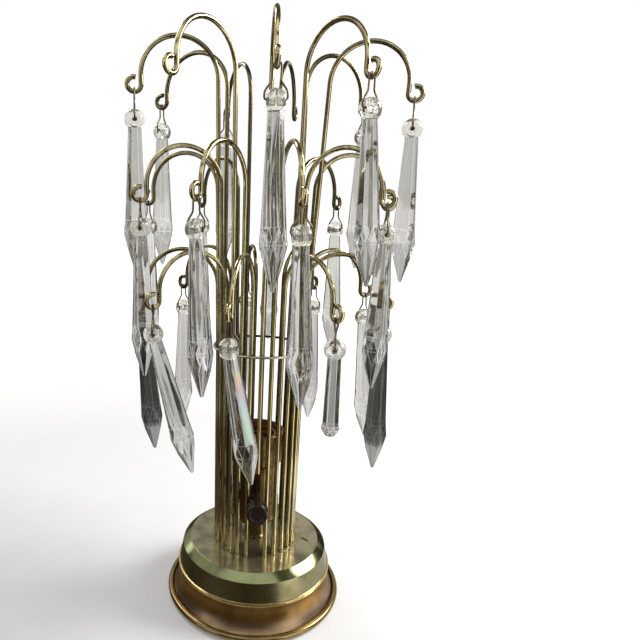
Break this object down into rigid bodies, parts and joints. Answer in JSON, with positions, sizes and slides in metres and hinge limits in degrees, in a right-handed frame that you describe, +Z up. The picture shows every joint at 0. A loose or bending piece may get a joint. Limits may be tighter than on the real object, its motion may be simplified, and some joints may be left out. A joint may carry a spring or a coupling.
{
  "type": "crystal prism table lamp",
  "caption": "Table lamp with a stepped brass foot, a cage of bent brass rods in tiers, a turn-knob bulb socket, and cut-glass prisms that swing on wire links from the rods' hooks.",
  "frame": {"origin": "centre of the felt pad's underside, where the lamp's axis meets the table", "axes": "+Z up along the lamp's axis, -Y to the front with the switch knob, +X to the right seen from the front"},
  "size_m": [0.19, 0.188, 0.3907],
  "materials": {
    "felt": "felt",
    "iron": "rough cast",
    "skirt_brass": "aged gold bronze, satin",
    "plate_brass": "aged olive brass, polished",
    "rod_brass": "antique brass, drawn rod",
    "wire": "copper brown wire",
    "socket_brass": "tarnished",
    "screw_brass": "tarnished",
    "fibre": "rust brown fibre",
    "phenolic": "moulded",
    "knob": "polished phenolic",
    "steel": "plain",
    "bush": "moulded",
    "crystal": "cut and polished"
  },
  "bodies": {
    "lamp": {"felt_pad": "felt", "base_weight": "iron", "base_skirt": "skirt_brass", "base_drum": "plate_brass", "rod_seat": "plate_brass", "base_spacer": "steel", "cord_bushing": "bush", "threaded_nipple": "steel", "lock_nut": "steel", "lock_washer": "steel", "check_ring": "plate_brass", "neck_tube": "plate_brass", "socket_cap": "socket_brass", "socket_shell": "socket_brass", "socket_liner": "fibre", "socket_body": "phenolic", "screw_shell": "screw_brass", "centre_contact": "screw_brass", "terminal_screws": "screw_brass", "front_rod": "rod_brass", "tall_rods": "rod_brass", "middle_rods": "rod_brass", "short_rods": "rod_brass", "brace_hoop": "wire", "tall_links": "wire", "middle_links": "wire", "short_links": "wire"},
    "knob": {"switch_shaft": "steel", "switch_knob": "knob"},
    "tall_prism_1": {"tall_prism_1": "crystal"},
    "tall_prism_2": {"tall_prism_2": "crystal"},
    "tall_prism_3": {"tall_prism_3": "crystal"},
    "tall_prism_4": {"tall_prism_4": "crystal"},
    "tall_prism_6": {"tall_prism_6": "crystal"},
    "tall_prism_7": {"tall_prism_7": "crystal"},
    "tall_prism_8": {"tall_prism_8": "crystal"},
    "middle_prism_1": {"middle_prism_1": "crystal"},
    "middle_prism_2": {"middle_prism_2": "crystal"},
    "middle_prism_3": {"middle_prism_3": "crystal"},
    "middle_prism_4": {"middle_prism_4": "crystal"},
    "middle_prism_5": {"middle_prism_5": "crystal"},
    "middle_prism_6": {"middle_prism_6": "crystal"},
    "middle_prism_7": {"middle_prism_7": "crystal"},
    "middle_prism_8": {"middle_prism_8": "crystal"},
    "middle_prism_9": {"middle_prism_9": "crystal"},
    "short_prism_1": {"short_prism_1": "crystal"},
    "short_prism_2": {"short_prism_2": "crystal"},
    "short_prism_3": {"short_prism_3": "crystal"},
    "short_prism_4": {"short_prism_4": "crystal"},
    "short_prism_5": {"short_prism_5": "crystal"},
    "short_prism_6": {"short_prism_6": "crystal"},
    "short_prism_7": {"short_prism_7": "crystal"},
    "short_prism_8": {"short_prism_8": "crystal"},
    "short_prism_9": {"short_prism_9": "crystal"}
  },
  "joints": [
    {"name": "knob_turn", "type": "hinge", "parent": "lamp", "child": "knob", "pos_m": [0, -0.029, 0.0815], "axis": [0, -1, 0], "continuous": true},
    {"name": "tall_prism_1_swing", "type": "hinge", "parent": "lamp", "child": "tall_prism_1", "pos_m": [0, -0.08887, 0.33719], "axis": [-0.9998, 0, -0.0175], "range_deg": [-25, 60]},
    {"name": "tall_prism_2_swing", "type": "hinge", "parent": "lamp", "child": "tall_prism_2", "pos_m": [0.0516, -0.0687, 0.3382], "axis": [-0.8172, -0.5722, -0.0698], "range_deg": [-25, 60]},
    {"name": "tall_prism_3_swing", "type": "hinge", "parent": "lamp", "child": "tall_prism_3", "pos_m": [0.08932, -0.02045, 0.33615], "axis": [-0.2587, -0.9653, -0.0349], "range_deg": [-25, 60]},
    {"name": "tall_prism_4_swing", "type": "hinge", "parent": "lamp", "child": "tall_prism_4", "pos_m": [0.07197, 0.04156, 0.33914], "axis": [0.5, -0.866, 0], "range_deg": [-25, 60]},
    {"name": "tall_prism_6_swing", "type": "hinge", "parent": "lamp", "child": "tall_prism_6", "pos_m": [-0.02941, 0.08081, 0.33819], "axis": [0.9397, 0.342, 0], "range_deg": [-25, 60]},
    {"name": "tall_prism_7_swing", "type": "hinge", "parent": "lamp", "child": "tall_prism_7", "pos_m": [-0.07497, 0.039, 0.33867], "axis": [0.4384, 0.8988, 0], "range_deg": [-25, 60]},
    {"name": "tall_prism_8_swing", "type": "hinge", "parent": "lamp", "child": "tall_prism_8", "pos_m": [-0.08434, -0.01675, 0.33819], "axis": [-0.2078, 0.9776, 0.0349], "range_deg": [-25, 60]},
    {"name": "middle_prism_1_swing", "type": "hinge", "parent": "lamp", "child": "middle_prism_1", "pos_m": [0.01634, -0.085, 0.27074], "axis": [-0.9862, -0.1621, -0.0349], "range_deg": [-25, 60]},
    {"name": "middle_prism_2_swing", "type": "hinge", "parent": "lamp", "child": "middle_prism_2", "pos_m": [0.0707, -0.04686, 0.2717], "axis": [-0.0291, -0.9996, 0], "range_deg": [-24, 60]},
    {"name": "middle_prism_3_swing", "type": "hinge", "parent": "lamp", "child": "middle_prism_3", "pos_m": [0.08599, 0.00964, 0.27074], "axis": [0.1449, -0.9894, 0], "range_deg": [-25, 60]},
    {"name": "middle_prism_4_swing", "type": "hinge", "parent": "lamp", "child": "middle_prism_4", "pos_m": [0.05905, 0.06207, 0.27122], "axis": [0.7469, -0.6647, 0.0175], "range_deg": [-25, 60]},
    {"name": "middle_prism_5_swing", "type": "hinge", "parent": "lamp", "child": "middle_prism_5", "pos_m": [0.00976, 0.08346, 0.27218], "axis": [0.9932, -0.1161, 0], "range_deg": [-25, 60]},
    {"name": "middle_prism_6_swing", "type": "hinge", "parent": "lamp", "child": "middle_prism_6", "pos_m": [-0.04759, 0.07236, 0.27073], "axis": [0.8355, 0.5495, 0], "range_deg": [-25, 60]},
    {"name": "middle_prism_7_swing", "type": "hinge", "parent": "lamp", "child": "middle_prism_7", "pos_m": [-0.08296, 0.02484, 0.27073], "axis": [0.2868, 0.958, 0], "range_deg": [-25, 60]},
    {"name": "middle_prism_8_swing", "type": "hinge", "parent": "lamp", "child": "middle_prism_8", "pos_m": [-0.07866, -0.03191, 0.2717], "axis": [-0.0581, 0.9983, 0], "range_deg": [-24, 60]},
    {"name": "middle_prism_9_swing", "type": "hinge", "parent": "lamp", "child": "middle_prism_9", "pos_m": [-0.04058, -0.07254, 0.27264], "axis": [-0.859, 0.5093, -0.0523], "range_deg": [-25, 60]},
    {"name": "short_prism_1_swing", "type": "hinge", "parent": "lamp", "child": "short_prism_1", "pos_m": [0.03993, -0.07332, 0.20668], "axis": [-0.1794, -0.9838, 0], "range_deg": [-6, 30]},
    {"name": "short_prism_2_swing", "type": "hinge", "parent": "lamp", "child": "short_prism_2", "pos_m": [0.07834, -0.02875, 0.20668], "axis": [-0.3141, -0.9479, -0.0523], "range_deg": [-25, 60]},
    {"name": "short_prism_3_swing", "type": "hinge", "parent": "lamp", "child": "short_prism_3", "pos_m": [0.07826, 0.02729, 0.2076], "axis": [0.3529, -0.9356, 0], "range_deg": [-30, 60]},
    {"name": "short_prism_4_swing", "type": "hinge", "parent": "lamp", "child": "short_prism_4", "pos_m": [0.04589, 0.06978, 0.20668], "axis": [0.8355, -0.5495, 0], "range_deg": [-25, 60]},
    {"name": "short_prism_5_swing", "type": "hinge", "parent": "lamp", "child": "short_prism_5", "pos_m": [-0.0097, 0.08295, 0.20668], "axis": [0.9932, 0.1161, 0], "range_deg": [-25, 60]},
    {"name": "short_prism_6_swing", "type": "hinge", "parent": "lamp", "child": "short_prism_6", "pos_m": [-0.06075, 0.05731, 0.20668], "axis": [0.6862, 0.7274, 0], "range_deg": [-25, 60]},
    {"name": "short_prism_7_swing", "type": "hinge", "parent": "lamp", "child": "short_prism_7", "pos_m": [-0.08404, 0.00118, 0.20574], "axis": [-0.0116, 0.9999, 0], "range_deg": [-20, 60]},
    {"name": "short_prism_8_swing", "type": "hinge", "parent": "lamp", "child": "short_prism_8", "pos_m": [-0.06886, -0.04665, 0.20714], "axis": [-0.0465, 0.9989, 0], "range_deg": [-10, 60]},
    {"name": "short_prism_9_swing", "type": "hinge", "parent": "lamp", "child": "short_prism_9", "pos_m": [-0.02099, -0.08052, 0.20714], "axis": [-0.9591, 0.263, -0.1045], "range_deg": [-11, 60]}
  ]
}
